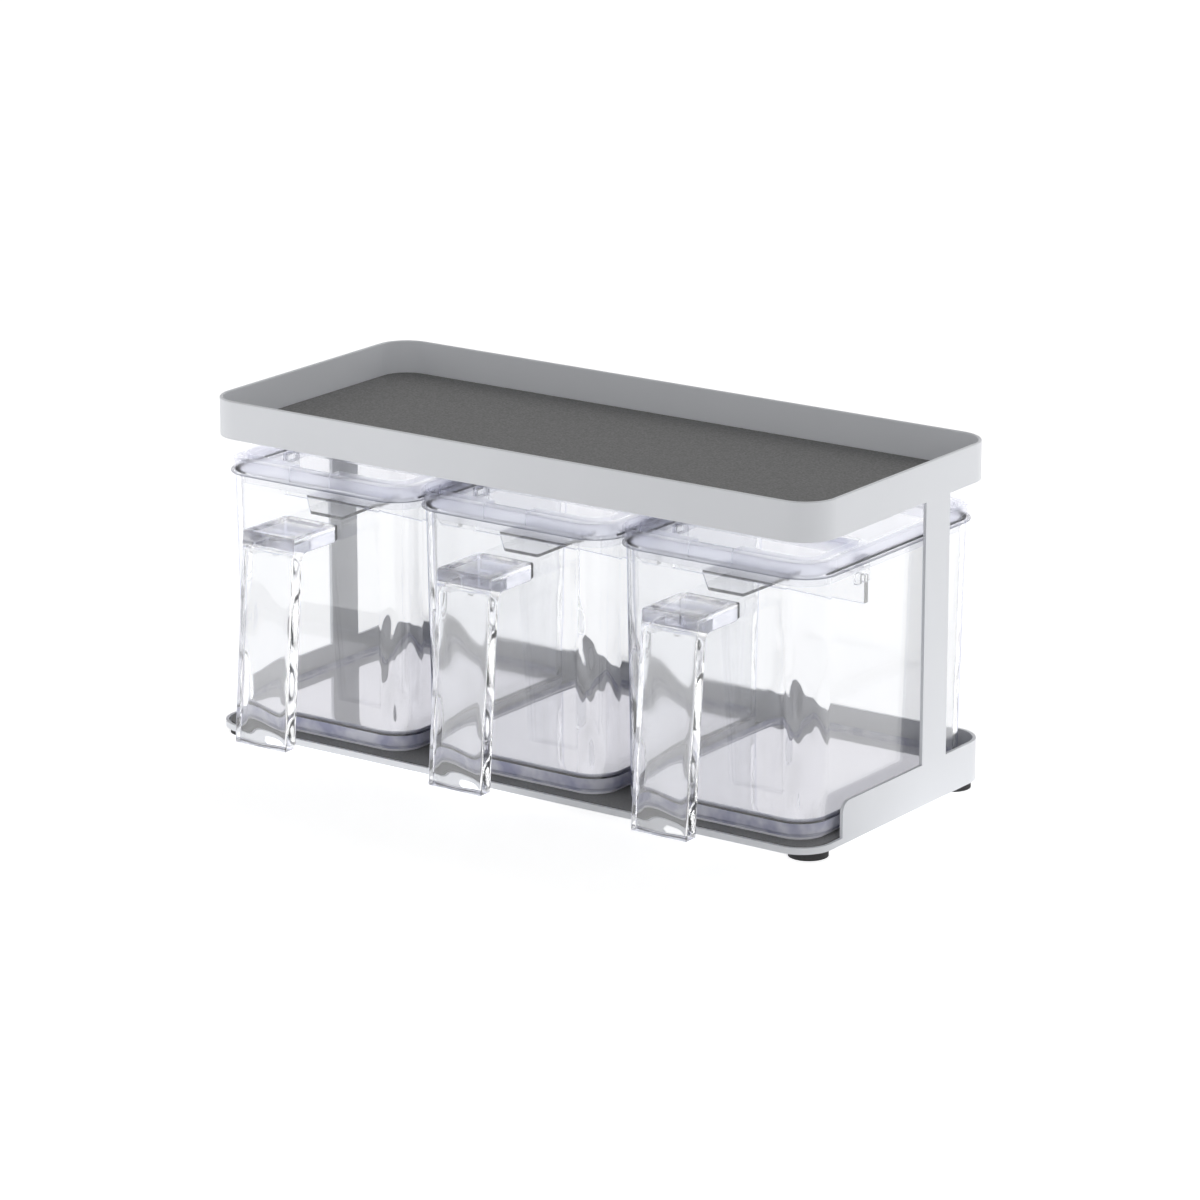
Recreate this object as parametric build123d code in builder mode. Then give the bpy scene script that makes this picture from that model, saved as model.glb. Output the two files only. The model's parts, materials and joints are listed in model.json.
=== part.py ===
from build123d import *
import os

# Steel rack with a tray on top and clear seasoning canisters below. Millimetres, +Z up, front towards -Y.
# The origin is on the table, under the middle of the whole object with its handles.

# Lid frames
lid_width = 85.0
lid_depth = 108.0
lid_corner_radius = 13.0
lid_height = 6.6
lid_plate = 1.8
lid_edge_chamfer = 0.9
skirt_wall = 1.2
skirt_clearance = 0.3
spigot_wall = 1.2
spigot_depth = 8.2
spigot_clearance = 0.4
mouth_border = 5.7
mouth_ledge = 2.0
ledge_thickness = 1.2
notch_floor = 1.0

# Flaps
flap_gap = 0.35
flap_seat_gap = 0.2
finger_lip_width = 17.5
finger_lip_above_skirt = 1.5

# Hinges
hinge_setback = 37.0
pin_radius = 1.0
pin_clearance = 0.05
pin_end_gap = 0.1
pin_grip = 6.0
knuckle_radius = 2.0
knuckle_gap = 0.5
knuckle_side_gap = 0.35
flap_knuckle_length = 12.0
centre_lug_length = 24.0
trough_wall = 1.0

# Levelling plates
levelling_setback = 36.0
levelling_thickness = 2.5
levelling_height = 10.0
levelling_drop = 12.0
levelling_side_gap = 0.3
ear_width = 8.0
ear_thickness = 1.5
ear_overlap = 4.0
ear_root = 3.0
tab_length = 4.0
tab_height = 2.0
tab_clearance = 0.1
web_width = 28.0
web_reach = 17.75
web_thickness = 1.1
web_drop = 2.5
tongue_tip_width = 14.3
tongue_reach = 6.5
tongue_drop = 3.4
tongue_root_round = 3.0
tongue_tip_round = 1.5

# Tubs
canister_height = 99.6
tub_wall = 2.0
tub_floor = 4.2
base_taper_x = 1.5
base_taper_y = 1.0
base_edge_chamfer = 0.8
floor_chamfer = 1.5
foot_ring_height = 2.0
foot_ring_wall = 2.0
foot_ring_inset = 1.5

# Handles
handle_width = 23.0
handle_plate = 6.6
handle_reach = 23.6
handle_lean = 6.4
handle_height = 77.0
handle_below_rim = 16.2
slab_top_thickness = 5.2
slab_bottom_thickness = 6.0
handle_edge_chamfer = 0.4
handle_inner_round = 2.5
recess_border = 2.2
recess_depth = 0.8
recess_slope = 1.0
boss_proud = 1.9
boss_inset = 0.5
tenon_width = 15.0
tenon_thickness = 1.6
tenon_length = 3.5
tenon_clearance = 0.1

# Rack
sheet = 1.2
rack_corner_radius = 12.5
lid_gap = 0.8
lid_side_clearance = 0.5
lid_end_clearance = 2.05
base_rim_height = 15.0
top_rim_height = 14.0
rim_edge_chamfer = 0.3
side_plate_setback = 19.25
side_plate_round = 4.0
front_lip_below_mat = 0.1
lid_headroom = 7.3
post_width = 15.5
post_setback = 69.75

# Mats and feet
base_mat_thickness = 1.2
top_mat_thickness = 0.8
mat_clearance = 0.8
foot_radius = 7.0
foot_height = 3.0
foot_inset_x = 8.6
foot_inset_y = 11.15

# Rack plan, from the lids that it holds
places = ["left", "middle", "right"]
canister_pitch = lid_width + lid_gap
inner_width = len(places) * lid_width + (len(places) - 1) * lid_gap + 2 * lid_side_clearance
inner_depth = lid_depth + 2 * lid_end_clearance
inner_corner_radius = rack_corner_radius - sheet
rack_width = inner_width + 2 * sheet
rack_depth = inner_depth + 2 * sheet

# Heights above the table
base_bottom = foot_height
base_floor_top = base_bottom + sheet
canister_bottom = base_floor_top + base_mat_thickness
base_rim_top = base_bottom + base_rim_height
front_lip_top = canister_bottom - front_lip_below_mat
lid_top = canister_bottom + canister_height
rim_top = lid_top - lid_plate
tub_bottom = canister_bottom + foot_ring_height
tub_height = rim_top - tub_bottom
skirt_bottom = lid_top - lid_height
top_tray_bottom = lid_top + lid_headroom
top_floor_top = top_tray_bottom + sheet

# Tub and handle, with depths from the rack's middle
tub_width = lid_width - 2 * (skirt_wall + skirt_clearance)
tub_depth = lid_depth - 2 * (skirt_wall + skirt_clearance)
tub_corner_radius = lid_corner_radius - skirt_wall - skirt_clearance
handle_top = rim_top - handle_below_rim
plate_bottom = handle_top - handle_plate
plate_middle = handle_top - handle_plate / 2
slab_bottom = handle_top - handle_height
boss_face = -tub_depth / 2 - boss_proud
boss_root = -tub_depth / 2 + base_taper_y * (rim_top - plate_middle) / tub_height + tub_wall / 2
plate_front = boss_face - handle_reach
slab_front = plate_front - handle_lean
rack_middle = -(slab_front + rack_depth / 2) / 2

# Lid, flap and hinge, with depths from the rack's middle
lid_front = -lid_depth / 2
spigot_width = tub_width - 2 * (tub_wall + spigot_clearance)
spigot_length = tub_depth - 2 * (tub_wall + spigot_clearance)
spigot_corner_radius = tub_corner_radius - tub_wall - spigot_clearance
spigot_bottom = rim_top - spigot_depth
spigot_inner_width = spigot_width - 2 * spigot_wall
mouth_width = lid_width - 2 * mouth_border
mouth_front = lid_front + mouth_border
mouth_corner_radius = lid_corner_radius - mouth_border
hinge_depth = lid_front + hinge_setback
hinge_height = lid_top - knuckle_radius
trough_half_width = knuckle_radius + knuckle_gap
block_half_width = trough_half_width + trough_wall
flap_rear = hinge_depth - trough_half_width
flap_bottom = rim_top + flap_seat_gap
flap_knuckle_middle = centre_lug_length / 2 + knuckle_side_gap + flap_knuckle_length / 2
end_lug_start = flap_knuckle_middle + flap_knuckle_length / 2 + knuckle_side_gap
pin_half_length = end_lug_start + pin_grip

# Levelling plate, with depths from the rack's middle
levelling_top = lid_top - levelling_drop
levelling_bottom = levelling_top - levelling_height
levelling_depth = lid_front + levelling_setback
levelling_taper = base_taper_x * (rim_top - levelling_bottom) / tub_height
levelling_width = tub_width - 2 * (tub_wall + levelling_taper + levelling_side_gap)
ear_top = spigot_bottom + ear_overlap
tab_middle = spigot_bottom + ear_overlap / 2
web_top = levelling_top - web_drop
web_front = levelling_depth - levelling_thickness / 2 - web_reach
tongue_front = web_front - tongue_reach
tongue_top = web_top - tongue_drop


os.makedirs("parts", exist_ok=True)


def plan(height, x=0.0):
    """Horizontal plane at a height, centred on the rack's middle or on a canister at x."""
    return Plane(origin=(x, rack_middle, height))


def side(x):
    """Upright plane at x, facing +X: its sketch axes are depth from the rack's middle, and height."""
    return Plane(origin=(x, rack_middle, 0), x_dir=(0, 1, 0), z_dir=(1, 0, 0))


def facing(x, depth):
    """Upright plane facing the front at a depth from the rack's middle: its axes are X and height."""
    return Plane(origin=(x, rack_middle + depth, 0), x_dir=(1, 0, 0), z_dir=(0, -1, 0))


def tub_size(height, inset):
    """Width and depth of the tapered tub, set in by inset, at a height above its underside."""
    narrowing = 1 - height / tub_height
    width = tub_width - 2 * (base_taper_x * narrowing + inset)
    depth = tub_depth - 2 * (base_taper_y * narrowing + inset)
    return width, depth


def tapered_block(x, height, inset):
    """Block with the tub's tapered walls, set in by inset, from a height above its underside to the rim."""
    low_width, low_depth = tub_size(height, inset)
    high_width, high_depth = tub_size(tub_height, inset)
    low = tub_bottom + height
    with BuildPart() as block:
        with BuildSketch(facing(x, 0)):
            with BuildLine():
                Polyline(
                    (-low_width / 2, low),
                    (low_width / 2, low),
                    (high_width / 2, rim_top),
                    (-high_width / 2, rim_top),
                    close=True,
                )
            make_face()
        extrude(amount=tub_depth, both=True)
        with BuildSketch(side(x)):
            with BuildLine():
                Polyline(
                    (-low_depth / 2, low),
                    (low_depth / 2, low),
                    (high_depth / 2, rim_top),
                    (-high_depth / 2, rim_top),
                    close=True,
                )
            make_face()
        extrude(amount=tub_width, both=True, mode=Mode.INTERSECT)
        upright_edges = block.edges().group_by(Axis.Z)[1]
        fillet(upright_edges, tub_corner_radius - inset)
    return block.part


def front_rounded(half_width, front, rear, radius):
    """Plan outline from front to rear, with its two front corners rounded."""
    with BuildLine() as outline:
        Polyline(
            (-half_width, front + radius),
            (-half_width, rear),
            (half_width, rear),
            (half_width, front + radius),
        )
        RadiusArc((half_width, front + radius), (half_width - radius, front), radius)
        Line((half_width - radius, front), (radius - half_width, front))
        RadiusArc((radius - half_width, front), (-half_width, front + radius), radius)
    make_face(outline.edges())


def knuckle(rear, front, bottom):
    """Section of a hinge knuckle with the web that joins it to its plate, between two depths."""
    with Locations((hinge_depth, hinge_height)):
        Circle(knuckle_radius)
    with Locations(((rear + front) / 2, (bottom + lid_top) / 2)):
        Rectangle(rear - front, lid_top - bottom)


# Base tray: rim at the back and sides, cut back to a low lip at the front
with BuildPart() as base_tray:
    with BuildSketch(plan(base_bottom)):
        RectangleRounded(rack_width, rack_depth, rack_corner_radius)
    extrude(amount=base_rim_height)
    with BuildSketch(plan(base_floor_top)):
        RectangleRounded(inner_width, inner_depth, inner_corner_radius)
    extrude(amount=base_rim_height - sheet, mode=Mode.SUBTRACT)
    with BuildSketch(side(-rack_width / 2)):
        with Locations((-rack_depth / 2, front_lip_top)):
            Rectangle(side_plate_setback, base_rim_height, align=(Align.MIN, Align.MIN))
    extrude(amount=rack_width, mode=Mode.SUBTRACT)
    plate_ends = base_tray.faces().filter_by(Axis.Y).filter_by(lambda face: face.width < 2 * sheet)
    plate_corners = plate_ends.edges().filter_by(Axis.X).group_by(Axis.Z)[-1]
    fillet(plate_corners, side_plate_round)
base_tray.part.label = "base_tray"
export_step(base_tray.part, "parts/base_tray.step")

# Top tray: rim all round, with the sharp edges of its top taken off
with BuildPart() as top_tray:
    with BuildSketch(plan(top_tray_bottom)):
        RectangleRounded(rack_width, rack_depth, rack_corner_radius)
    extrude(amount=top_rim_height)
    with BuildSketch(plan(top_floor_top)):
        RectangleRounded(inner_width, inner_depth, inner_corner_radius)
    extrude(amount=top_rim_height - sheet, mode=Mode.SUBTRACT)
    chamfer(top_tray.faces().sort_by(Axis.Z)[-1].edges(), rim_edge_chamfer)
top_tray.part.label = "top_tray"
export_step(top_tray.part, "parts/top_tray.step")

# Posts: flat strips flush with the outside of the side plates and of the top tray
for name, direction in (("post_left", -1), ("post_right", 1)):
    with BuildPart() as post:
        with BuildSketch(plan(base_rim_top, direction * (rack_width - sheet) / 2)):
            with Locations((0, post_setback + post_width / 2 - rack_depth / 2)):
                Rectangle(sheet, post_width)
        extrude(amount=top_tray_bottom - base_rim_top)
    post.part.label = name
    export_step(post.part, "parts/" + name + ".step")

# Mats lying in the two trays
for name, height, thickness in (
    ("base_mat", base_floor_top, base_mat_thickness),
    ("top_mat", top_floor_top, top_mat_thickness),
):
    with BuildPart() as mat:
        with BuildSketch(plan(height)):
            RectangleRounded(
                inner_width - 2 * mat_clearance,
                inner_depth - 2 * mat_clearance,
                inner_corner_radius - mat_clearance,
            )
        extrude(amount=thickness)
    mat.part.label = name
    export_step(mat.part, "parts/" + name + ".step")

# Feet under the base tray's corners
for row, towards_back in (("front", -1), ("back", 1)):
    for column, towards_right in (("left", -1), ("right", 1)):
        foot_x = towards_right * (rack_width / 2 - foot_inset_x)
        foot_y = towards_back * (rack_depth / 2 - foot_inset_y)
        with BuildPart() as foot:
            with BuildSketch(plan(0)):
                with Locations((foot_x, foot_y)):
                    Circle(foot_radius)
            extrude(amount=foot_height)
        foot.part.label = "foot_" + row + "_" + column
        export_step(foot.part, "parts/foot_" + row + "_" + column + ".step")


def make_tub(x):
    """Tapered tub with a thick floor on a foot ring, and a boss with a tenon for the handle."""
    outside = tapered_block(x, 0, 0)
    inside = tapered_block(x, tub_floor, tub_wall)
    with BuildPart() as tub:
        add(outside)
        chamfer(tub.faces().sort_by(Axis.Z)[0].edges(), base_edge_chamfer)
        add(inside, mode=Mode.SUBTRACT)
        floor_face = tub.faces().filter_by(Axis.Z).sort_by(Axis.Z)[1]
        chamfer(floor_face.edges(), floor_chamfer)
        with BuildSketch(plan(tub_bottom, x)):
            RectangleRounded(*tub_size(0, foot_ring_inset), tub_corner_radius - foot_ring_inset)
            ring_inset = foot_ring_inset + foot_ring_wall
            RectangleRounded(
                *tub_size(0, ring_inset),
                tub_corner_radius - ring_inset,
                mode=Mode.SUBTRACT,
            )
        extrude(amount=-foot_ring_height)
        with BuildSketch(facing(x, boss_face)):
            with Locations((0, plate_middle)):
                Rectangle(handle_width - 2 * boss_inset, handle_plate - 2 * boss_inset)
        extrude(amount=boss_face - boss_root)
        with BuildSketch(facing(x, boss_face)):
            with Locations((0, plate_middle)):
                Rectangle(tenon_width, tenon_thickness)
        extrude(amount=tenon_length)
    return tub


def make_handle(x):
    """Inverted L: recessed plate slotted onto the tub's tenon, and a slab that leans outwards."""
    rear_at_plate = plate_front + slab_top_thickness
    recess_length = handle_reach - 2 * recess_border
    with BuildPart() as handle:
        with BuildSketch(side(x)) as profile:
            with BuildLine():
                Polyline(
                    (boss_face, handle_top),
                    (plate_front, handle_top),
                    (slab_front, slab_bottom),
                    (slab_front + slab_bottom_thickness, slab_bottom),
                    (rear_at_plate, plate_bottom),
                    (boss_face, plate_bottom),
                    close=True,
                )
            make_face()
            inner_corner = profile.vertices().sort_by_distance((rear_at_plate, plate_bottom))[0]
            fillet(inner_corner, handle_inner_round)
        extrude(amount=handle_width / 2, both=True)
        rear_face = handle.faces().sort_by(Axis.Y)[-1]
        outer_edges = handle.edges() - rear_face.edges()
        chamfer(outer_edges, handle_edge_chamfer)
        with BuildSketch(plan(handle_top, x)):
            with Locations((0, boss_face - handle_reach / 2)):
                Rectangle(handle_width - 2 * recess_border, recess_length)
        with BuildSketch(plan(handle_top - recess_depth, x)):
            with Locations((0, boss_face - handle_reach / 2)):
                Rectangle(
                    handle_width - 2 * (recess_border + recess_slope),
                    recess_length - 2 * recess_slope,
                )
        loft(mode=Mode.SUBTRACT)
        with BuildSketch(facing(x, boss_face)):
            with Locations((0, plate_middle)):
                Rectangle(tenon_width + 2 * tenon_clearance, tenon_thickness + 2 * tenon_clearance)
        extrude(amount=tenon_length + tenon_clearance, mode=Mode.SUBTRACT)
    return handle


def make_lid_frame(x):
    """Lid with a skirt, a slotted spigot inside the tub, a ledged mouth, and a trough with hinge lugs."""
    with BuildPart() as lid:
        with BuildSketch(plan(skirt_bottom, x)):
            RectangleRounded(lid_width, lid_depth, lid_corner_radius)
        extrude(amount=lid_height)
        chamfer(lid.faces().sort_by(Axis.Z)[-1].edges(), lid_edge_chamfer)
        with BuildSketch(plan(skirt_bottom, x)):
            RectangleRounded(
                lid_width - 2 * skirt_wall, lid_depth - 2 * skirt_wall, lid_corner_radius - skirt_wall
            )
        extrude(amount=rim_top - skirt_bottom, mode=Mode.SUBTRACT)

        # Spigot
        with BuildSketch(plan(spigot_bottom, x)):
            RectangleRounded(spigot_width, spigot_length, spigot_corner_radius)
            RectangleRounded(
                spigot_inner_width,
                spigot_length - 2 * spigot_wall,
                spigot_corner_radius - spigot_wall,
                mode=Mode.SUBTRACT,
            )
        extrude(amount=spigot_depth)
        with BuildSketch(side(x)):
            with Locations((levelling_depth, tab_middle)):
                Rectangle(tab_length + 2 * tab_clearance, tab_height + 2 * tab_clearance)
        extrude(amount=spigot_width / 2, both=True, mode=Mode.SUBTRACT)

        # Ledge under the flap, and the block that holds the hinge trough
        with BuildSketch(plan(rim_top - ledge_thickness, x)):
            front_rounded(
                spigot_inner_width / 2,
                spigot_wall - spigot_length / 2,
                hinge_depth,
                spigot_corner_radius - spigot_wall,
            )
        extrude(amount=ledge_thickness)
        with BuildSketch(side(x)):
            with Locations((hinge_depth, (hinge_height - block_half_width + rim_top) / 2)):
                Rectangle(2 * block_half_width, rim_top - hinge_height + block_half_width)
        extrude(amount=spigot_inner_width / 2, both=True)

        # Recess for the flap, the mouth through the ledge, and the notch for the finger lip
        with BuildSketch(plan(rim_top, x)):
            front_rounded(mouth_width / 2, mouth_front, hinge_depth, mouth_corner_radius)
            with Locations((0, (lid_front + hinge_depth) / 2)):
                Rectangle(finger_lip_width + 2 * flap_gap, hinge_depth - lid_front)
        extrude(amount=lid_plate, mode=Mode.SUBTRACT)
        with BuildSketch(plan(rim_top - ledge_thickness, x)):
            front_rounded(
                mouth_width / 2 - mouth_ledge,
                mouth_front + mouth_ledge,
                hinge_depth - block_half_width,
                mouth_corner_radius - mouth_ledge,
            )
        extrude(amount=ledge_thickness, mode=Mode.SUBTRACT)
        with BuildSketch(facing(x, lid_front)):
            with Locations((0, skirt_bottom + notch_floor)):
                Rectangle(
                    finger_lip_width + 2 * flap_gap,
                    lid_height - notch_floor,
                    align=(Align.CENTER, Align.MIN),
                )
        extrude(amount=-skirt_wall, mode=Mode.SUBTRACT)

        # Hinge trough, then the lugs in it
        with BuildSketch(side(x)):
            with Locations((hinge_depth, hinge_height - trough_half_width)):
                Rectangle(
                    2 * trough_half_width,
                    lid_top - hinge_height + trough_half_width,
                    align=(Align.CENTER, Align.MIN),
                )
        extrude(amount=mouth_width / 2, both=True, mode=Mode.SUBTRACT)
        lug_rear = hinge_depth + trough_half_width
        with BuildSketch(side(x)):
            knuckle(lug_rear, hinge_depth, hinge_height)
        extrude(amount=centre_lug_length / 2, both=True)
        for direction in (-1, 1):
            with BuildSketch(side(x + direction * end_lug_start)):
                knuckle(lug_rear, hinge_depth, hinge_height)
            extrude(amount=direction * (mouth_width / 2 - end_lug_start))
        with BuildSketch(side(x)):
            with Locations((hinge_depth, hinge_height)):
                Circle(pin_radius + pin_clearance)
        extrude(amount=pin_half_length + pin_end_gap, both=True, mode=Mode.SUBTRACT)
    return lid


def make_flip_lid(x):
    """Flap flush in the lid's top, with knuckles behind and a finger lip down the lid's front."""
    with BuildPart() as flap:
        with BuildSketch(plan(flap_bottom, x)):
            front_rounded(
                mouth_width / 2 - flap_gap,
                mouth_front + flap_gap,
                flap_rear,
                mouth_corner_radius - flap_gap,
            )
            with Locations((0, (lid_front + flap_rear) / 2)):
                Rectangle(finger_lip_width, flap_rear - lid_front)
        extrude(amount=lid_top - flap_bottom)
        with BuildSketch(facing(x, lid_front)):
            with Locations((0, skirt_bottom + finger_lip_above_skirt)):
                Rectangle(
                    finger_lip_width,
                    lid_height - finger_lip_above_skirt,
                    align=(Align.CENTER, Align.MIN),
                )
        extrude(amount=-skirt_wall)
        lip_edge = flap.edges().filter_by(Axis.X).group_by(Axis.Y)[0].sort_by(Axis.Z)[-1]
        chamfer(lip_edge, lid_edge_chamfer)
        for direction in (-1, 1):
            with BuildSketch(side(x + direction * flap_knuckle_middle)):
                knuckle(hinge_depth, flap_rear, flap_bottom)
            extrude(amount=flap_knuckle_length / 2, both=True)
        with BuildSketch(side(x)):
            with Locations((hinge_depth, hinge_height)):
                Circle(pin_radius + pin_clearance)
        extrude(amount=pin_half_length, both=True, mode=Mode.SUBTRACT)
    return flap


def make_hinge_pin(x):
    """Pin through the lid's lugs and the flap's knuckles."""
    with BuildPart() as pin:
        with BuildSketch(side(x)):
            with Locations((hinge_depth, hinge_height)):
                Circle(pin_radius)
        extrude(amount=pin_half_length, both=True)
    return pin


def make_levelling_plate(x):
    """Cross plate with tabs in the lid's spigot, and a web to a tongue that slopes down in front."""
    with BuildPart() as levelling:
        with BuildSketch(side(x)):
            with BuildLine():
                Polyline(
                    (levelling_depth, web_top),
                    (web_front, web_top),
                    (tongue_front, tongue_top),
                    (tongue_front, tongue_top - web_thickness),
                    (web_front, web_top - web_thickness),
                    (levelling_depth, web_top - web_thickness),
                    close=True,
                )
            make_face()
        extrude(amount=web_width / 2, both=True)
        with BuildSketch(plan(levelling_bottom, x)) as tongue_outline:
            with BuildLine():
                Polyline(
                    (-web_width / 2, levelling_depth),
                    (-web_width / 2, web_front),
                    (-tongue_tip_width / 2, tongue_front),
                    (tongue_tip_width / 2, tongue_front),
                    (web_width / 2, web_front),
                    (web_width / 2, levelling_depth),
                    close=True,
                )
            make_face()
            corners = tongue_outline.vertices().group_by(Axis.Y)
            fillet(corners[0], tongue_tip_round)
            fillet(corners[1], tongue_root_round)
        extrude(amount=levelling_height, mode=Mode.INTERSECT)
        with BuildSketch(plan(levelling_bottom, x)):
            with Locations((0, levelling_depth)):
                Rectangle(levelling_width, levelling_thickness)
        extrude(amount=levelling_height)
        for direction in (-1, 1):
            with BuildSketch(side(x + direction * spigot_inner_width / 2)):
                with Locations((levelling_depth, levelling_top - ear_root)):
                    Rectangle(
                        ear_width,
                        ear_top - levelling_top + ear_root,
                        align=(Align.CENTER, Align.MIN),
                    )
            extrude(amount=-direction * ear_thickness)
            with BuildSketch(side(x + direction * spigot_inner_width / 2)):
                with Locations((levelling_depth, tab_middle)):
                    Rectangle(tab_length, tab_height)
            extrude(amount=direction * spigot_wall)
    return levelling


pieces = (
    ("canister", make_tub),
    ("handle", make_handle),
    ("lid_frame", make_lid_frame),
    ("flip_lid", make_flip_lid),
    ("hinge_pin", make_hinge_pin),
    ("levelling_plate", make_levelling_plate),
)
for index, place in enumerate(places):
    canister_x = (index - (len(places) - 1) / 2) * canister_pitch
    for name, make in pieces:
        piece = make(canister_x)
        piece.part.label = name + "_" + place
        export_step(piece.part, "parts/" + name + "_" + place + ".step")
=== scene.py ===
import json
import math

import bmesh
import bpy
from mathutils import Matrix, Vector, noise


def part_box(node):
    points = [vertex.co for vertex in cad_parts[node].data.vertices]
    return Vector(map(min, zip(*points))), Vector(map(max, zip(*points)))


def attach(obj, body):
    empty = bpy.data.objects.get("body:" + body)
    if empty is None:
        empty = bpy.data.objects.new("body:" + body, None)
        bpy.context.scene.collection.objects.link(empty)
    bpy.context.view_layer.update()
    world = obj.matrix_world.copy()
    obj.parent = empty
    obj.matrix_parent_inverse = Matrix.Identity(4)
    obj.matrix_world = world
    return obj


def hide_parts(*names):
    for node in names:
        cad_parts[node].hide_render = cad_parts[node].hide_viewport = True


# The scene is in metres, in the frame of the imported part: +Z up, front towards -Y.
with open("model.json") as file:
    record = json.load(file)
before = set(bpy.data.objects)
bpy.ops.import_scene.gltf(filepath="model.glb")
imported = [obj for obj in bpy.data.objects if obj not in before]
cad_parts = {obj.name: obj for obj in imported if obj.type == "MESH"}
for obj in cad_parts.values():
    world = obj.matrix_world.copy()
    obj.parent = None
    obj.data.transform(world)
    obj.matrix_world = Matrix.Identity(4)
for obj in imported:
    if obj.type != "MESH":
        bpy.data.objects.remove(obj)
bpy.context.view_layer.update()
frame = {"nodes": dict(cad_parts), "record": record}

MM = 0.001
TOLERANCE = 1e-6
PLACES = ("left", "middle", "right")
tray_low, tray_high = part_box("base_tray")
rack_middle = (tray_low.y + tray_high.y) / 2

# Viewpoint of the photograph
CAMERA_AZIMUTH = 35.24
CAMERA_ELEVATION = 16.07
CAMERA_DISTANCE = 1919.47 * MM
CAMERA_TARGET = Vector((2.28 * MM, rack_middle, 59.36 * MM))
CAMERA_LENS = 162.0
CAMERA_SENSOR = 36.0
LIGHT_BOUNCES = 32

# Light of the room on the object: brighter near the horizon than overhead
HORIZON_LIGHT = 0.76
ZENITH_LIGHT = 0.15
HORIZON_SINE = 0.30
ZENITH_SINE = 0.90

# Pale floor: what it adds for the camera, gloss and clear plastic, and the light that it throws up
FLOOR_RADIUS = 6.0
FLOOR_ALBEDO = 0.85
FLOOR_GLOW = 0.70
FLOOR_LIGHT = 0.82
FLOOR_LIGHT_DIM = 0.09
FLOOR_LIGHT_DIM_AZIMUTH = 42
FLOOR_LIGHT_DIM_COSINE = 0.55
FLOOR_LIGHT_GAIN = 1.15
FLOOR_LIGHT_REACH = 0.35

# Refraction of the plastics; the milky one blurs what is behind it more than it bends it
PLASTIC_IOR = 1.5
COAT_IOR = 1.48
MILKY_IOR = 1.05

# Turn in degrees over which an edge of a piece stays sharp
SHARP_ANGLE = 32

# Sizes from here on are in millimetres.
# Tub: the taper is what each side draws in from the rim to the underside
TUB_WALL = 2.0
TUB_FLOOR = 4.2
TUB_TAPER_X = 1.5
TUB_TAPER_Y = 1.0
TUB_CORNER_RADIUS = 11.5
TUB_RIM_ROUND = 0.3
TUB_BASE_ROUND = 0.8
TUB_FLOOR_ROUND = 1.5
FOOT_RING_HEIGHT = 2.0
FOOT_RING_WALL = 2.0
FOOT_RING_INSET = 1.5
FOOT_RING_ROUND = 0.3

# Top of the painted highlight line on the foot ring, and the border that keeps the large flat faces off the
# rounds
RING_LINE = 0.9
CAP_BORDER = 0.4

# Steps of the meshes on corners, straight sides, small rounds and walls
CORNER_STEPS = 24
SIDE_STEPS = 10
ROUND_STEPS = 4
WALL_LEVELS = 40

# Materials of a tub's faces; its wall is covered where the lid's skirt hides it
TUB_MATERIALS = (
    "clear_plastic",
    "tub_floor_plastic",
    "thick_edge_plastic",
    "painted_highlight_plastic",
    "milky_plastic",
)
CLEAR, CLEAR_FLOOR, THICK_EDGE, PAINTED_HIGHLIGHT, COVERED = range(len(TUB_MATERIALS))

# Bottom of the lid's skirt below the tub's rim, and the painted shade line along it
SKIRT_BELOW_RIM = 4.8
SKIRT_LINE = 0.25
SKIRT_LINE_SOFTNESS = 0.02
SKIRT_LINE_SHARE = 0.5

# Waves inside a tub's corners, which smear what shows through them: each turn is in degrees from the front
# or back, and each height is from the underside
WAVE_HEIGHT = 0.58
WAVE_TOPS = {"left": 58.0, "middle": 74.0, "right": 74.0}
WAVE_FULL_SHARE = 0.7
WAVE_LENGTH = 36.0
WAVE_STILL = 40.6
WAVE_CREST = 16.0
WAVE_DIP = 62.0
WAVE_DIP_SHARE = 0.6
WAVE_SPREAD = 13.0
WAVE_DRIFT = 2.5
WAVE_DRIFT_TURN = 30.0
WAVE_DRIFT_HEIGHT = 15.0
WAVE_SEED_STEP = 10.0

# Corners of an outline, anticlockwise: the side along X, the side along Y, and the degrees where each starts
CORNERS = ((1, -1, -90), (1, 1, 0), (-1, 1, 90), (-1, -1, 180))

# Boss on the tub's front that carries the handle
BOSS_HALF_WIDTH = 11.0
BOSS_INSET = 0.5
BOSS_ROUND = 0.5
BOSS_GAP = 0.02

# Handle: how far its plate reaches forward, and how far the slab's foot stands before its top
HANDLE_REACH = 23.6
HANDLE_LEAN = 6.4
HANDLE_PLATE = 6.6
HANDLE_EDGE_ROUND = 0.7
HANDLE_INNER_ROUND = 2.5
HANDLE_INNER_STEPS = 5
SLAB_TOP_THICKNESS = 5.2
SLAB_BOTTOM_THICKNESS = 6.0
SLAB_LEVELS = 56
HANDLE_MATERIALS = ("clear_plastic", "handle_plate_plastic")
SLAB, PLATE = range(len(HANDLE_MATERIALS))

# Recess in the top of a handle's plate, with sloping sides
RECESS_BORDER = 2.2
RECESS_DEPTH = 0.8
RECESS_SLOPE = 1.0
RECESS_STEP = 4.0
RECESS_STEPS = 3
RECESS_HALF_COLUMNS = 8

# Swells on the slab's faces, which fade out towards its edges
SWELL_HEIGHT = 0.5
SWELL_WIDTH = 24.0
SWELL_SHIFT = 1.0
SWELL_LENGTH = 45.0
SWELL_SIDE_FADE = 2.0
SWELL_FOOT_FADE = 6.0
SWELL_TOP_FADE = 8.0


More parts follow.
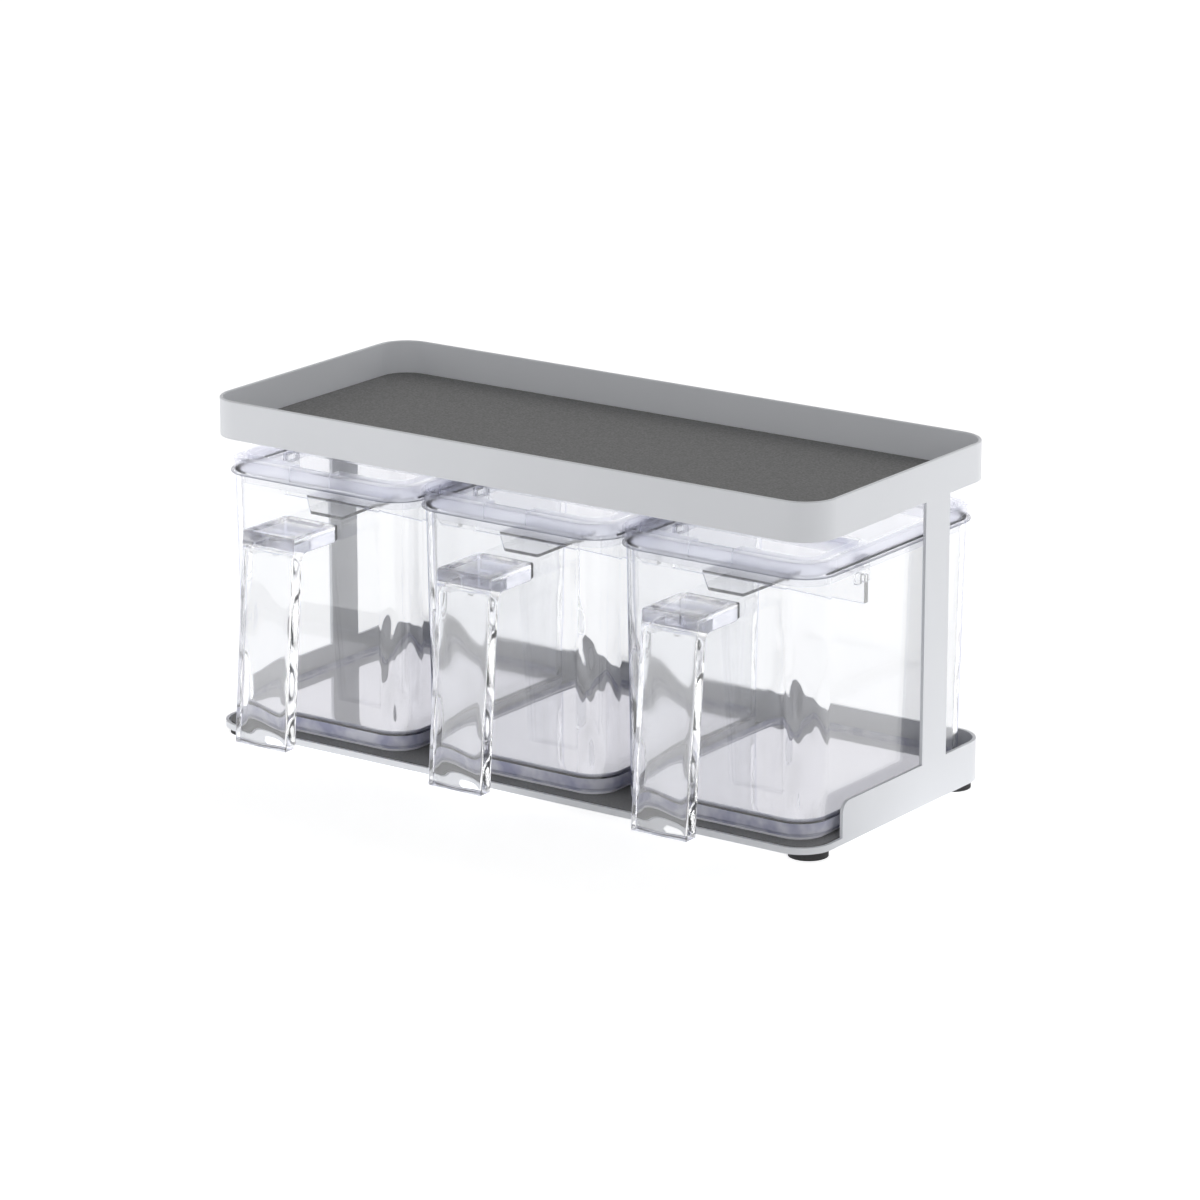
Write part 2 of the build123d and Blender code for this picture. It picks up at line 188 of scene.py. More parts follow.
def fill_inputs(tree, node, inputs):
    """Gives each input of a node, by its name or number, a value or the output of another node."""
    for key, value in inputs.items():
        if isinstance(value, bpy.types.NodeSocket):
            tree.links.new(value, node.inputs[key])
        else:
            node.inputs[key].default_value = value


def add_node(tree, kind, inputs=None, operation=None):
    """Adds a node to a tree, with its inputs, and its operation if it has one."""
    node = tree.nodes.new(kind)
    if operation:
        node.operation = operation
    fill_inputs(tree, node, inputs or {})
    return node


def new_material(name):
    """New material, with its node tree and its shader."""
    material = bpy.data.materials.new(name)
    material.use_nodes = True
    tree = material.node_tree
    return material, tree, tree.nodes["Principled BSDF"]


def show_surface(tree, shader):
    """Makes a shader the surface of its material."""
    fill_inputs(tree, tree.nodes["Material Output"], {"Surface": shader})


def flow_noise(tree, scale, detail=2.0):
    """Noise that is fixed to the object, of a scale in cycles a metre."""
    place = add_node(tree, "ShaderNodeTexCoord").outputs["Object"]
    texture = add_node(tree, "ShaderNodeTexNoise", {"Vector": place, "Scale": scale, "Detail": detail})
    return texture.outputs["Fac"]


def two_tones(tree, amount, low, high, low_at=0.0, high_at=1.0):
    """Colour that goes from low to high as the amount goes from low_at to high_at."""
    ramp = add_node(tree, "ShaderNodeValToRGB", {"Fac": amount})
    first, second = ramp.color_ramp.elements
    first.position = low_at
    first.color = (*low, 1)
    second.position = high_at
    second.color = (*high, 1)
    return ramp.outputs["Color"]


def bumps(tree, height, distance, strength):
    """Surface direction for bumps of a height."""
    bump = add_node(tree, "ShaderNodeBump", {"Height": height, "Distance": distance, "Strength": strength})
    return bump.outputs["Normal"]


def map_range(tree, value, source, target):
    """Value that goes from end to end of the target as the given one goes over the source."""
    inputs = {"Value": value, "From Min": source[0], "From Max": source[1]}
    inputs.update({"To Min": target[0], "To Max": target[1]})
    return add_node(tree, "ShaderNodeMapRange", inputs).outputs["Result"]


def mix_shaders(tree, first, second, share):
    """Mix of two shaders, with the share of the second."""
    return add_node(tree, "ShaderNodeMixShader", {"Fac": share, 1: first, 2: second}).outputs["Shader"]


def mix_at_glance(tree, square_on, glancing, reach, shares):
    """Mix of two shaders in which the glancing one's share changes as the surface turns over the reach."""
    turn = add_node(tree, "ShaderNodeLayerWeight", {"Blend": 0.5}).outputs["Facing"]
    return mix_shaders(tree, square_on, glancing, map_range(tree, turn, reach, shares))


def glossy(tree, colour, roughness):
    """Plain mirror of a colour."""
    inputs = {"Color": (*colour, 1), "Roughness": roughness}
    return add_node(tree, "ShaderNodeBsdfGlossy", inputs).outputs["BSDF"]


def white_steel():
    """White powder coat: fine pebbled bump, and a slight change of tone."""
    material, tree, shader = new_material("white_powder_coat")
    colour = two_tones(tree, flow_noise(tree, scale=30), low=(0.79, 0.805, 0.838), high=(0.83, 0.845, 0.878))
    normal = bumps(tree, flow_noise(tree, scale=2600), distance=0.02 * MM, strength=0.5)
    fill_inputs(tree, shader, {"Base Color": colour, "Normal": normal, "Roughness": 0.45})
    return material


def grey_mat(name, dark, pale):
    """Dark grey mat with a fine leathery grain."""
    material, tree, shader = new_material(name)
    grain = flow_noise(tree, scale=1500, detail=3)
    colour = two_tones(tree, grain, low=(dark, dark, dark), high=(pale, pale, pale), low_at=0.3, high_at=0.7)
    normal = bumps(tree, grain, distance=0.08 * MM, strength=0.6)
    fill_inputs(tree, shader, {"Base Color": colour, "Normal": normal, "Roughness": 0.8})
    return material


def black_rubber():
    """Black rubber of the feet, with a fine grain."""
    material, tree, shader = new_material("black_rubber")
    grain = flow_noise(tree, scale=1200)
    colour = two_tones(tree, grain, low=(0.012, 0.012, 0.013), high=(0.03, 0.03, 0.032))
    fill_inputs(tree, shader, {"Base Color": colour, "Roughness": 0.7})
    return material


def fill_clear(tree, shader, colour, roughness, clearness):
    """Makes a shader a clear plastic; its colour is a plain one or a node's output."""
    inputs = {"Base Color": colour, "Roughness": roughness}
    inputs.update({"IOR": PLASTIC_IOR, "Transmission Weight": clearness})
    fill_inputs(tree, shader, inputs)


def clear_plastic():
    """Clear polished plastic, lilac grey where it is seen edge on and light has a long way through it."""
    material, tree, shader = new_material("clear_plastic")
    fill_clear(tree, shader, colour=(0.985, 0.99, 1.0, 1), roughness=0.01, clearness=0.96)
    normal = bumps(tree, flow_noise(tree, scale=60, detail=1), distance=0.03 * MM, strength=0.4)
    fill_inputs(tree, shader, {"Normal": normal})
    fill_inputs(tree, shader, {"Coat Weight": 1.0, "Coat IOR": COAT_IOR, "Coat Roughness": 0.02})
    edge = glossy(tree, (0.50, 0.52, 0.68), roughness=0.08)
    mixed = mix_at_glance(tree, shader.outputs["BSDF"], edge, reach=(0.60, 0.92), shares=(0.0, 0.7))
    show_surface(tree, mixed)
    return material


def tub_floor_plastic():
    """Thick floor of a tub: clear from above, and a pale mirror at a glancing look."""
    material, tree, shader = new_material("tub_floor_plastic")
    fill_clear(tree, shader, colour=(0.95, 0.95, 1.0, 1), roughness=0.03, clearness=0.9)
    mirror = glossy(tree, (0.91, 0.895, 0.945), roughness=0.06)
    mixed = mix_at_glance(tree, shader.outputs["BSDF"], mirror, reach=(0.40, 0.72), shares=(0.05, 0.86))
    show_surface(tree, mixed)
    return material


def thick_edge_plastic():
    """Edge of the tub's thick floor, where the clear plastic piles up to a lilac grey, with painted light
    and highlights on it.
    """
    material, tree, shader = new_material("thick_edge_plastic")
    fill_clear(tree, shader, colour=(0.97, 0.97, 1.0, 1), roughness=0.03, clearness=0.95)
    # diffuse lilac layer with streaks: painted light and painted highlights for what the thick plastic
    # gathers; its lilac is partly the plastic's own tint
    flow = flow_noise(tree, scale=140)
    lilac = two_tones(tree, flow, low=(0.50, 0.51, 0.70), high=(0.88, 0.89, 1.0), low_at=0.35, high_at=0.62)
    painted_glow = add_node(tree, "ShaderNodeBsdfDiffuse", {"Color": lilac}).outputs["BSDF"]
    show_surface(tree, mix_shaders(tree, shader.outputs["BSDF"], painted_glow, share=0.7))
    return material


def painted_highlight_plastic():
    """Lower edge of a tub's foot ring: a pale opaque colour, a painted highlight for the bright line that
    the edge shows.
    """
    material, tree, shader = new_material("painted_highlight_plastic")
    colour = two_tones(tree, flow_noise(tree, scale=110), low=(0.80, 0.80, 0.90), high=(0.98, 0.98, 1.0))
    fill_inputs(tree, shader, {"Base Color": colour, "Roughness": 0.4})
    return material


def skirt_shade_line_share(tree):
    """Share of the painted shade line: along the bottom of the lids' skirts, and nothing elsewhere."""
    place = add_node(tree, "ShaderNodeTexCoord").outputs["Object"]
    height = add_node(tree, "ShaderNodeSeparateXYZ", {"Vector": place}).outputs["Z"]
    skirt_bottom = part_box("canister_middle")[1].z - SKIRT_BELOW_RIM * MM
    line_middle = skirt_bottom + SKIRT_LINE * MM / 2
    half_line = (SKIRT_LINE / 2 + SKIRT_LINE_SOFTNESS) * MM
    inputs = {0: height, 1: line_middle, 2: half_line}
    on_line = add_node(tree, "ShaderNodeMath", inputs, operation="COMPARE").outputs[0]
    inputs = {0: on_line, 1: SKIRT_LINE_SHARE}
    return add_node(tree, "ShaderNodeMath", inputs, operation="MULTIPLY").outputs[0]


def milky_plastic():
    """Milky, half clear plastic of the lids, with a faint flow pattern and a painted shade line along its
    skirt's bottom.
    """
    material, tree, shader = new_material("milky_plastic")
    colour = two_tones(tree, flow_noise(tree, scale=45), low=(0.94, 0.945, 0.985), high=(0.98, 0.985, 1.0))
    inputs = {"Base Color": colour, "Roughness": 0.35, "IOR": MILKY_IOR, "Transmission Weight": 0.94}
    fill_inputs(tree, shader, inputs)
    fill_inputs(tree, shader, {"Coat Weight": 0.4, "Coat IOR": PLASTIC_IOR, "Coat Roughness": 0.2})
    clear = add_node(tree, "ShaderNodeBsdfTransparent", {"Color": (0.985, 0.985, 1.0, 1)}).outputs["BSDF"]
    film = mix_at_glance(tree, clear, shader.outputs["BSDF"], reach=(0.30, 0.68), shares=(0.75, 0.12))
    # dark glossy line: painted shade along the bottom of the skirt
    line = glossy(tree, (0.16, 0.17, 0.23), roughness=0.3)
    show_surface(tree, mix_shaders(tree, film, line, share=skirt_shade_line_share(tree)))
    return material


def handle_plate_plastic():
    """Thick top plate of a handle: clear, with painted lilac streaks in its tint for the light that a thick
    polished block gathers.
    """
    material, tree, shader = new_material("handle_plate_plastic")
    # lilac and white streaks: painted reflections and light in the plate's tint
    flow = flow_noise(tree, scale=90)
    painted_streaks = two_tones(tree, flow, low=(0.68, 0.70, 0.90), high=(1.0, 1.0, 1.0), low_at=0.4, high_at=0.55)
    fill_clear(tree, shader, colour=painted_streaks, roughness=0.02, clearness=0.93)
    clear = add_node(tree, "ShaderNodeBsdfTransparent").outputs["BSDF"]
    mixed = mix_at_glance(tree, clear, shader.outputs["BSDF"], reach=(0.0, 1.0), shares=(0.4, 0.7))
    show_surface(tree, mixed)
    return material


MATERIALS = {
    "white_steel": white_steel(),
    "grey_mat": grey_mat("grey_mat", dark=0.135, pale=0.235),
    # paler copy of the grey mat: painted light for the mat under the canisters, which lies in shade
    "painted_light_mat": grey_mat("painted_light_mat", dark=0.21, pale=0.32),
    "black_rubber": black_rubber(),
    "clear_plastic": clear_plastic(),
    "milky_plastic": milky_plastic(),
    "tub_floor_plastic": tub_floor_plastic(),
    "thick_edge_plastic": thick_edge_plastic(),
    "painted_highlight_plastic": painted_highlight_plastic(),
    "handle_plate_plastic": handle_plate_plastic(),
}


def dress_cad_nodes():
    """Gives each node of the frame the material of its slot; the mat under the canisters gets a paler copy
    as painted light.
    """
    slots = {part["node"]: part["material_slot"] for part in frame["record"]["subparts"]}
    for name, node in frame["nodes"].items():
        node.data.materials.clear()
        node.data.materials.append(MATERIALS["painted_light_mat" if name == "base_mat" else slots[name]])


def box_in_mm(name):
    """Lower and upper corner of a node of the frame, in millimetres."""
    return [[value / MM for value in corner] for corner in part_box(name)]


def smooth_step(low, high, value):
    """0 below low, 1 above high, with an even rise between."""
    share = min(max((value - low) / (high - low), 0.0), 1.0)
    return share * share * (3 - 2 * share)


def arc(centre, radius, start, end, steps):
    """Points of an arc between two turns in degrees, without its two ends."""
    points = []
    for step in range(1, steps):
        turn = math.radians(start + (end - start) * step / steps)
        points.append((centre[0] + radius * math.cos(turn), centre[1] + radius * math.sin(turn)))
    return points


def rounded_outline(half_width, half_depth, radius):
    """Points of a rounded rectangle, anticlockwise, with even steps on its corners and its sides."""
    points = []
    for index, (right, back, start) in enumerate(CORNERS):
        middle = Vector((right * (half_width - radius), back * (half_depth - radius)))
        for step in range(CORNER_STEPS + 1):
            turn = math.radians(start + 90 * step / CORNER_STEPS)
            points.append(middle + radius * Vector((math.cos(turn), math.sin(turn))))
        right, back, start = CORNERS[(index + 1) % len(CORNERS)]
        following = Vector((right * (half_width - radius), back * (half_depth - radius)))
        turn = math.radians(start)
        arrival = following + radius * Vector((math.cos(turn), math.sin(turn)))
        leave = points[-1]
        points += [leave.lerp(arrival, step / SIDE_STEPS) for step in range(1, SIDE_STEPS)]
    return points


def bridge(bm, ring, following):
    """Band of faces between two closed rings of as many points."""
    faces = []
    for index in range(len(ring)):
        beside = (index + 1) % len(ring)
        faces.append(bm.faces.new((ring[index], ring[beside], following[beside], following[index])))
    return faces


def finish_mesh(name, bm, materials, body, node):
    """Object from a bmesh in millimetres, smooth between its sharp edges, that stands for a CAD node."""
    bmesh.ops.recalc_face_normals(bm, faces=bm.faces)
    bmesh.ops.scale(bm, vec=(MM, MM, MM), verts=bm.verts)
    mesh = bpy.data.meshes.new(name)
    bm.to_mesh(mesh)
    bm.free()
    mesh.shade_smooth()
    mesh.set_sharp_from_angle(angle=math.radians(SHARP_ANGLE))
    for material in materials:
        mesh.materials.append(MATERIALS[material])
    piece = bpy.data.objects.new(name, mesh)
    bpy.context.scene.collection.objects.link(piece)
    flats = piece.modifiers.new("flats", "WEIGHTED_NORMAL")
    flats.keep_sharp = True
    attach(piece, body)
    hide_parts(node)


def underside_loops():
    """Loops of a tub as (inset, height, material), from the middle of its underside round the foot ring."""
    base = FOOT_RING_HEIGHT
    ring_in = FOOT_RING_INSET + FOOT_RING_WALL
    round_top = base + TUB_BASE_ROUND
    base_round = arc((TUB_BASE_ROUND, round_top), TUB_BASE_ROUND, 270, 180, ROUND_STEPS)
    return [
        (ring_in + CAP_BORDER, base, CLEAR),
        (ring_in, base, CLEAR),
        (ring_in, FOOT_RING_ROUND, CLEAR),
        (ring_in - FOOT_RING_ROUND, 0, THICK_EDGE),
        (FOOT_RING_INSET + FOOT_RING_ROUND, 0, THICK_EDGE),
        # lower edge of the foot ring: painted highlight line
        (FOOT_RING_INSET, FOOT_RING_ROUND, PAINTED_HIGHLIGHT),
        (FOOT_RING_INSET, RING_LINE, PAINTED_HIGHLIGHT),
        (FOOT_RING_INSET, base, THICK_EDGE),
        (TUB_BASE_ROUND, base, THICK_EDGE),
        *[(inset, z, THICK_EDGE) for inset, z in base_round],
        (0, round_top, THICK_EDGE),
        (0, base + TUB_FLOOR, THICK_EDGE),
    ]


def rim_loops(rim, skirt):
    """Loops of a tub round its rim, down to the height where the lid's skirt ends."""
    return [
        (0, rim - TUB_RIM_ROUND, COVERED),
        (TUB_RIM_ROUND, rim, COVERED),
        (TUB_WALL - TUB_RIM_ROUND, rim, COVERED),
        (TUB_WALL, rim - TUB_RIM_ROUND, COVERED),
        (TUB_WALL, skirt, COVERED),
    ]


def floor_loops(low, floor_top):
    """Loops of a tub from the foot of its inside wall to its floor."""
    flat = TUB_WALL + TUB_FLOOR_ROUND
    floor_round = arc((flat, low), TUB_FLOOR_ROUND, 180, 270, ROUND_STEPS)
    return [
        (TUB_WALL, low, CLEAR),
        *[(inset, z, THICK_EDGE) for inset, z in floor_round],
        (flat, floor_top, CLEAR_FLOOR),
        (flat + CAP_BORDER, floor_top, CLEAR_FLOOR),
    ]


def tub_loops(height):
    """Loops of a tub as (inset, height, material, wavy), from its underside over the rim to its floor."""
    floor_top = FOOT_RING_HEIGHT + TUB_FLOOR
    low = floor_top + TUB_FLOOR_ROUND
    skirt = height - SKIRT_BELOW_RIM + 2 * SKIRT_LINE
    rising = [floor_top + (skirt - floor_top) * level / WALL_LEVELS for level in range(1, WALL_LEVELS + 1)]
    falling = [skirt - (skirt - low) * level / WALL_LEVELS for level in range(1, WALL_LEVELS)]
    loops = [(*loop, False) for loop in underside_loops()]
    loops += [(0, z, CLEAR, False) for z in rising]
    loops += [(*loop, False) for loop in rim_loops(height, skirt)]
    loops += [(TUB_WALL, z, CLEAR, True) for z in falling]
    loops += [(*loop, False) for loop in floor_loops(low, floor_top)]
    return loops


def wave(turn, z, seed, top):
    """How far the inside of a corner swells at a turn in degrees from its front or back, in millimetres."""
    strength = WAVE_HEIGHT * (1 - smooth_step(WAVE_FULL_SHARE * top, top, z))
    crest = math.exp(-(((turn - WAVE_CREST) / WAVE_SPREAD) ** 2))
    dip = WAVE_DIP_SHARE * math.exp(-(((turn - WAVE_DIP) / WAVE_SPREAD) ** 2))
    drift = WAVE_DRIFT * noise.noise(Vector((seed, turn / WAVE_DRIFT_TURN, z / WAVE_DRIFT_HEIGHT)))
    return strength * (crest - dip) * math.sin(2 * math.pi * (z + drift - WAVE_STILL) / WAVE_LENGTH)


def add_boss(bm, middle, root, face, low, high):
    """Block on the tub's front that carries the handle, from its root to its face, with rounded edges."""
    centre = (low + high) / 2
    half_height = (high - low) / 2
    r = BOSS_ROUND
    outline = []
    for right, up, start in CORNERS:
        for step in range(ROUND_STEPS + 1):
            turn = math.radians(start + 90 * step / ROUND_STEPS)
            across = right * (BOSS_HALF_WIDTH - r) + r * math.cos(turn)
            outline.append((across, up * (half_height - r) + r * math.sin(turn)))
    rings = []
    # The last two steps round the edge of the face
    for y, inset in ((root, 0.0), (face + r, 0.0), (face + r / 3, r / 4), (face, r)):
        shrink_x = 1 - inset / BOSS_HALF_WIDTH
        shrink_z = 1 - inset / half_height
        rings.append([bm.verts.new((middle + x * shrink_x, y, centre + z * shrink_z)) for x, z in outline])
    for ring, following in zip(rings, rings[1:]):
        bridge(bm, ring, following)
    bm.faces.new(reversed(rings[0]))
    bm.faces.new(rings[-1])


def handle_seat(place):
    """Underside, top and rear of a handle's plate, in millimetres."""
    (_, front, _), (_, _, top) = box_in_mm("handle_" + place)
    return top - HANDLE_PLATE, top, front + HANDLE_LEAN + HANDLE_REACH


def make_tub(place):
    """Tapered clear tub with its thick floor, foot ring, rounded rim and the boss for the handle."""
    name = "canister_" + place
    (left, _, bottom), (right, rear, rim) = box_in_mm(name)
    half_width = (right - left) / 2
    half_depth = rear - rack_middle / MM
    middle = Vector(((left + right) / 2, rack_middle / MM))
    wall_height = rim - bottom - FOOT_RING_HEIGHT
    seed = WAVE_SEED_STEP * PLACES.index(place)
    bm = bmesh.new()
    rings = []
    for inset, z, material, wavy in tub_loops(rim - bottom):
        narrow = 1 - max(z - FOOT_RING_HEIGHT, 0) / wall_height
        outline = rounded_outline(
            half_width - TUB_TAPER_X * narrow - inset,
            half_depth - TUB_TAPER_Y * narrow - inset,
            TUB_CORNER_RADIUS - inset,
        )
        ring = []
        for point in outline:
            side_x = abs(point.x) - (half_width - TUB_CORNER_RADIUS)
            side_y = abs(point.y) - (half_depth - TUB_CORNER_RADIUS)
            turn = math.degrees(math.atan2(side_x, side_y))
            push = wave(turn, z, seed, WAVE_TOPS[place]) if wavy else 0.0
            spot = point * (1 - push / point.length) + middle
            ring.append(bm.verts.new((spot.x, spot.y, bottom + z)))
        rings.append((ring, material))
    for (ring, _), (following, material) in zip(rings, rings[1:]):
        for face in bridge(bm, ring, following):
            face.material_index = material
    bm.faces.new(reversed(rings[0][0])).material_index = CLEAR
    bm.faces.new(rings[-1][0]).material_index = CLEAR_FLOOR
    plate_bottom, plate_top, plate_rear = handle_seat(place)
    front_wall = middle.y - half_depth + TUB_TAPER_Y * (rim - plate_bottom) / wall_height
    add_boss(
        bm,
        middle.x,
        root=front_wall - BOSS_GAP,
        face=plate_rear + BOSS_GAP,
        low=plate_bottom + BOSS_INSET,
        high=plate_top - BOSS_INSET,
    )
    finish_mesh("tub_" + place, bm, TUB_MATERIALS, body=name, node=name)


def handle_outline(low, top, rear):
    """Side outline of a handle as (depth, height, kind) points, from the top's rear edge round the front."""
    plate_bottom = top - HANDLE_PLATE
    front = rear - HANDLE_REACH
    foot = front - HANDLE_LEAN
    foot_rear = foot + SLAB_BOTTOM_THICKNESS
    slab_rear = front + SLAB_TOP_THICKNESS
    r = HANDLE_EDGE_ROUND
    inner = HANDLE_INNER_ROUND
    recess = RECESS_BORDER + RECESS_SLOPE
    tops = [rear, rear - RECESS_BORDER, rear - recess]
    tops += [rear - recess - RECESS_STEP * step for step in range(1, RECESS_STEPS + 1)]
    tops += [front + recess, front + RECESS_BORDER]
    points = [(y, top, "top") for y in tops]
    points += [(front + r, top, "edge")]
    points += [(y, z, "edge") for y, z in arc((front + r, top - r), r, 90, 180, ROUND_STEPS)]
    lean = HANDLE_LEAN / (top - low)
    for level in range(SLAB_LEVELS + 1):
        z = top - r - (top - low - 2 * r) * level / SLAB_LEVELS
        points.append((front - lean * (top - z), z, "front"))
    points += [(y, z, "edge") for y, z in arc((foot + r, low + r), r, 180, 270, ROUND_STEPS)]
    points += [(foot + r, low, "edge"), (foot_rear - r, low, "edge")]
    points += [(y, z, "edge") for y, z in arc((foot_rear - r, low + r), r, 270, 360, ROUND_STEPS)]
    for level in range(SLAB_LEVELS + 1):
        z = low + r + (plate_bottom - inner - low - r) * level / SLAB_LEVELS
        y = foot_rear + (slab_rear - foot_rear) * (z - low) / (plate_bottom - low)
        points.append((y, z, "rear"))
    inner_centre = (slab_rear + inner, plate_bottom - inner)
    points += [(y, z, "edge") for y, z in arc(inner_centre, inner, 180, 90, HANDLE_INNER_STEPS)]
    points += [(slab_rear + inner, plate_bottom, "under"), (rear, plate_bottom, "under")]
    return points


def handle_columns(half_width):
    """Places across a handle as (x, turn), where turn goes from 1 at the side to 0 past the rounded edge."""
    r = HANDLE_EDGE_ROUND
    columns = []
    for step in range(ROUND_STEPS, 0, -1):
        turn = step / ROUND_STEPS
        columns.append((-half_width + r - r * math.sin(math.radians(90 * turn)), turn))
    recess_side = -half_width + RECESS_BORDER + RECESS_SLOPE
    columns += [(-half_width + r, 0.0), (-half_width + RECESS_BORDER, 0.0), (recess_side, 0.0)]
    columns += [(recess_side * (1 - s / RECESS_HALF_COLUMNS), 0.0) for s in range(1, RECESS_HALF_COLUMNS)]
    return columns + [(0.0, 0.0)] + [(-x, turn) for x, turn in reversed(columns)]


def inward_at(points, index):
    """Direction into a handle at a point of its outline; at the rear face's edges it is down or up."""
    if index == 0:
        return Vector((0.0, -1.0))
    if index == len(points) - 1:
        return Vector((0.0, 1.0))
    before, after = points[index - 1], points[index + 1]
    along = Vector((after[0] - before[0], after[1] - before[1])).normalized()
    return Vector((-along.y, along.x))


def slab_swell(x, up, half_width, height):
    """How far a face of the slab swells at a place across it and a height above its foot."""
    swell = math.cos(2 * math.pi * (x - SWELL_SHIFT) / SWELL_WIDTH)
    swell *= math.cos(2 * math.pi * up / SWELL_LENGTH)
    fade = smooth_step(0, SWELL_SIDE_FADE, half_width - abs(x)) * smooth_step(0, SWELL_FOOT_FADE, up)
    return SWELL_HEIGHT * swell * fade * smooth_step(0, SWELL_TOP_FADE, height - up)


def make_handle(place):
    """Clear inverted L with a recess on its plate, rounded edges and the soft swells of a thick moulding."""
    name = "handle_" + place
    (left, _, foot), (right, _, top) = box_in_mm(name)
    half_width = (right - left) / 2
    middle = (left + right) / 2
    plate_bottom, _, rear = handle_seat(place)
    points = handle_outline(foot, top, rear)
    recess = RECESS_BORDER + RECESS_SLOPE
    bm = bmesh.new()
    rows = []
    for x, turn in handle_columns(half_width):
        pull = HANDLE_EDGE_ROUND * (1 - math.cos(math.radians(90 * turn)))
        row = []
        for index, (y, z, kind) in enumerate(points):
            inward = inward_at(points, index)
            spot = Vector((y, z)) + inward * pull
            if kind in ("front", "rear") and turn == 0:
                outward = -1 if kind == "front" else 1
                spot += inward * outward * slab_swell(x, z - foot, half_width, top - foot)
            to_edge = min(rear - y, y - (rear - HANDLE_REACH), half_width - abs(x))
            if kind == "top" and to_edge >= recess - TOLERANCE:
                spot.y -= RECESS_DEPTH
            row.append(bm.verts.new((middle + x, spot.x, spot.y)))
        rows.append(row)
    heights = [z for _, z, _ in points]
    on_plate = [min(z, after) > plate_bottom for z, after in zip(heights, heights[1:] + heights[:1])]
    for row, following in zip(rows, rows[1:]):
        for face, above in zip(bridge(bm, row, following), on_plate):
            face.material_index = PLATE if above else SLAB
    bm.faces.new(reversed(rows[0]))
    bm.faces.new(rows[-1])
    finish_mesh("grip_" + place, bm, HANDLE_MATERIALS, body="canister_" + place, node=name)


def seen_directly(tree):
    """1 for camera, gloss and transmission rays, and 0 for the rays that carry light."""
    rays = add_node(tree, "ShaderNodeLightPath").outputs
    inputs = {0: rays["Is Camera Ray"], 1: rays["Is Glossy Ray"]}
    seen = add_node(tree, "ShaderNodeMath", inputs, operation="MAXIMUM").outputs[0]
    inputs = {0: seen, 1: rays["Is Transmission Ray"]}
    return add_node(tree, "ShaderNodeMath", inputs, operation="MAXIMUM").outputs[0]


def make_room():
    """World that is plain white to look at, and lights softly, more from the horizon than from overhead."""
    world = bpy.data.worlds.new("room")
    bpy.context.scene.world = world
    world.use_nodes = True
    tree = world.node_tree
    direction = add_node(tree, "ShaderNodeTexCoord").outputs["Generated"]
    rise = add_node(tree, "ShaderNodeSeparateXYZ", {"Vector": direction}).outputs["Z"]
    sky = map_range(tree, rise, (HORIZON_SINE, ZENITH_SINE), (HORIZON_LIGHT, ZENITH_LIGHT))
    strength = map_range(tree, seen_directly(tree), (0.0, 1.0), (sky, 1.0))
    fill_inputs(tree, tree.nodes["Background"], {"Color": (1, 1, 1, 1), "Strength": strength})


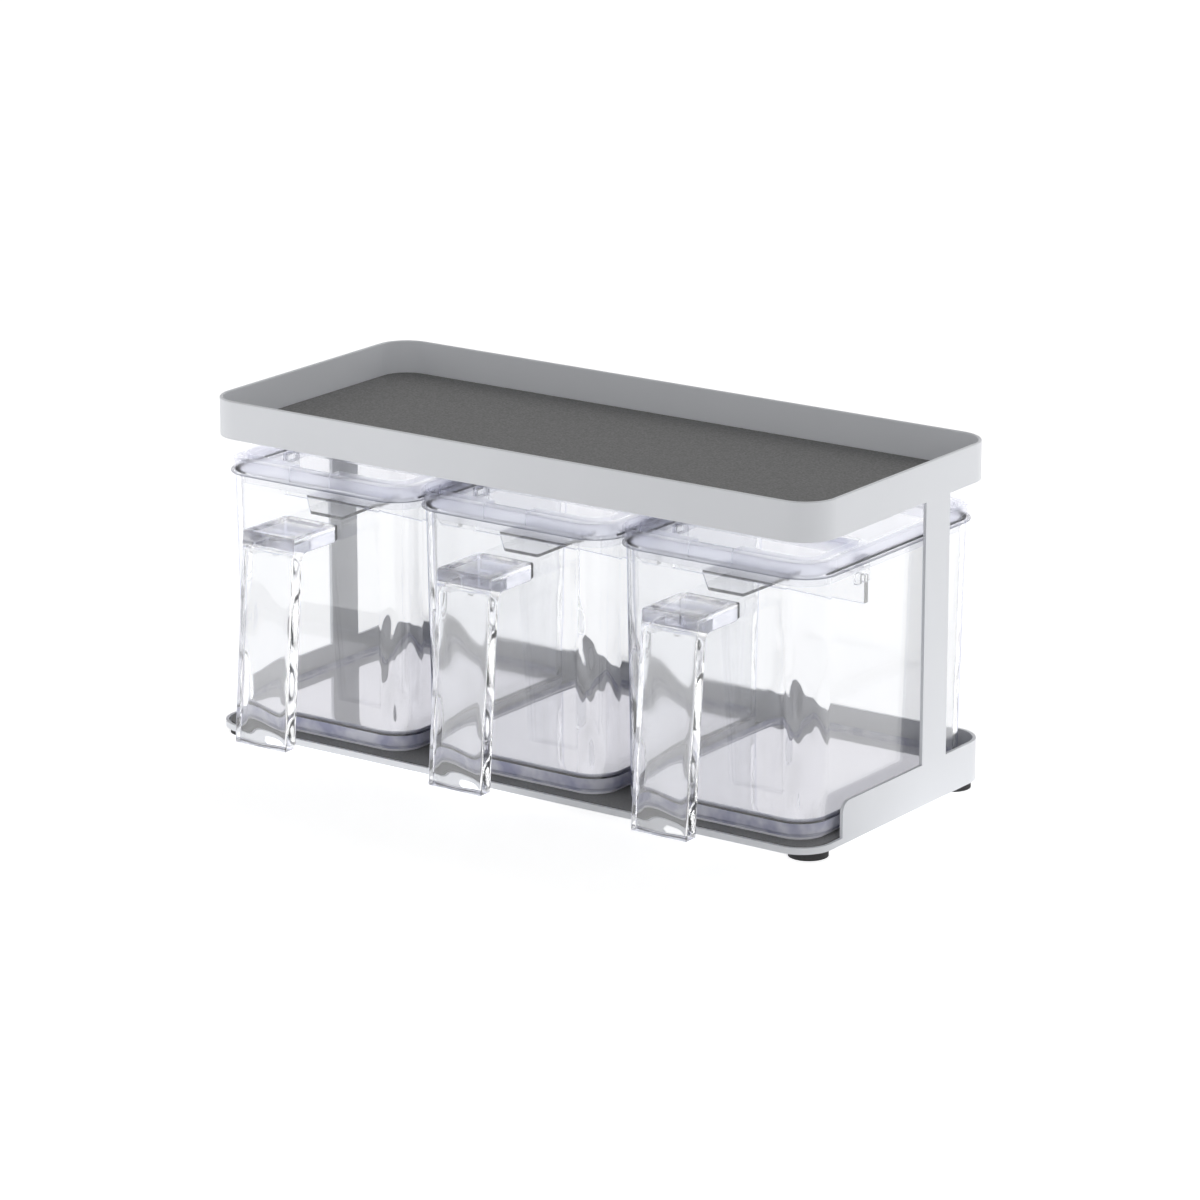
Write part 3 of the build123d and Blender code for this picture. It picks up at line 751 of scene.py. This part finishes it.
def make_floor():
    """Pale floor that stays white round the object and keeps its shadow."""
    bpy.ops.mesh.primitive_circle_add(vertices=64, radius=FLOOR_RADIUS, fill_type="NGON")
    floor = bpy.context.object
    floor.name = "floor"
    material, tree, shader = new_material("floor")
    place = add_node(tree, "ShaderNodeTexCoord").outputs["Object"]
    aside = add_node(tree, "ShaderNodeSeparateXYZ", {"Vector": place}).outputs["X"]
    heading = add_node(tree, "ShaderNodeVectorMath", {0: place}, operation="NORMALIZE").outputs["Vector"]
    turn = math.radians(FLOOR_LIGHT_DIM_AZIMUTH)
    inputs = {0: heading, 1: (math.sin(turn), -math.cos(turn), 0)}
    nearness = add_node(tree, "ShaderNodeVectorMath", inputs, operation="DOT_PRODUCT").outputs["Value"]
    thrown = map_range(tree, nearness, (FLOOR_LIGHT_DIM_COSINE, 1.0), (FLOOR_LIGHT, FLOOR_LIGHT_DIM))
    gain = map_range(tree, aside, (0.0, FLOOR_LIGHT_REACH), (1.0, FLOOR_LIGHT_GAIN))
    light = add_node(tree, "ShaderNodeMath", {0: thrown, 1: gain}, operation="MULTIPLY").outputs[0]
    glow = map_range(tree, seen_directly(tree), (0.0, 1.0), (light, FLOOR_GLOW))
    pale = (FLOOR_ALBEDO, FLOOR_ALBEDO, FLOOR_ALBEDO, 1)
    fill_inputs(tree, shader, {"Base Color": pale, "Roughness": 0.9, "Specular IOR Level": 0.0})
    fill_inputs(tree, shader, {"Emission Color": (1, 1, 1, 1), "Emission Strength": glow})
    floor.data.materials.append(material)


def look_from(viewer, azimuth, elevation, distance):
    """Places a camera or lamp at an azimuth and elevation in degrees, looking at the rack."""
    turn, rise = math.radians(azimuth), math.radians(elevation)
    back = Vector((math.sin(turn) * math.cos(rise), -math.cos(turn) * math.cos(rise), math.sin(rise)))
    viewer.location = CAMERA_TARGET + back * distance
    viewer.rotation_mode = "QUATERNION"
    viewer.rotation_quaternion = (-back).to_track_quat("-Z", "Y")


def add_lamp(name, azimuth, elevation, distance, size, power):
    """Soft square lamp that lights the rack, and isn't seen in gloss or through plastic."""
    light = bpy.data.lights.new(name, "AREA")
    light.shape = "SQUARE"
    light.size = size
    light.energy = power
    lamp = bpy.data.objects.new(name, light)
    bpy.context.scene.collection.objects.link(lamp)
    look_from(lamp, azimuth, elevation, distance)
    lamp.visible_glossy = False
    lamp.visible_transmission = False


def make_camera():
    """Camera at the photograph's viewpoint."""
    data = bpy.data.cameras.new("camera")
    data.lens = CAMERA_LENS
    data.sensor_width = CAMERA_SENSOR
    data.clip_start = 0.05
    data.clip_end = 50.0
    camera = bpy.data.objects.new("camera", data)
    bpy.context.scene.collection.objects.link(camera)
    look_from(camera, CAMERA_AZIMUTH, CAMERA_ELEVATION, CAMERA_DISTANCE)
    bpy.context.scene.camera = camera


make_camera()
make_room()
make_floor()
add_lamp("back_lamp", azimuth=180, elevation=50, distance=1.6, size=1.0, power=5)
dress_cad_nodes()
for place in PLACES:
    make_tub(place)
    make_handle(place)

scene = bpy.context.scene
scene.view_settings.view_transform = "Standard"
scene.cycles.max_bounces = LIGHT_BOUNCES
scene.cycles.transmission_bounces = LIGHT_BOUNCES
scene.cycles.transparent_max_bounces = LIGHT_BOUNCES
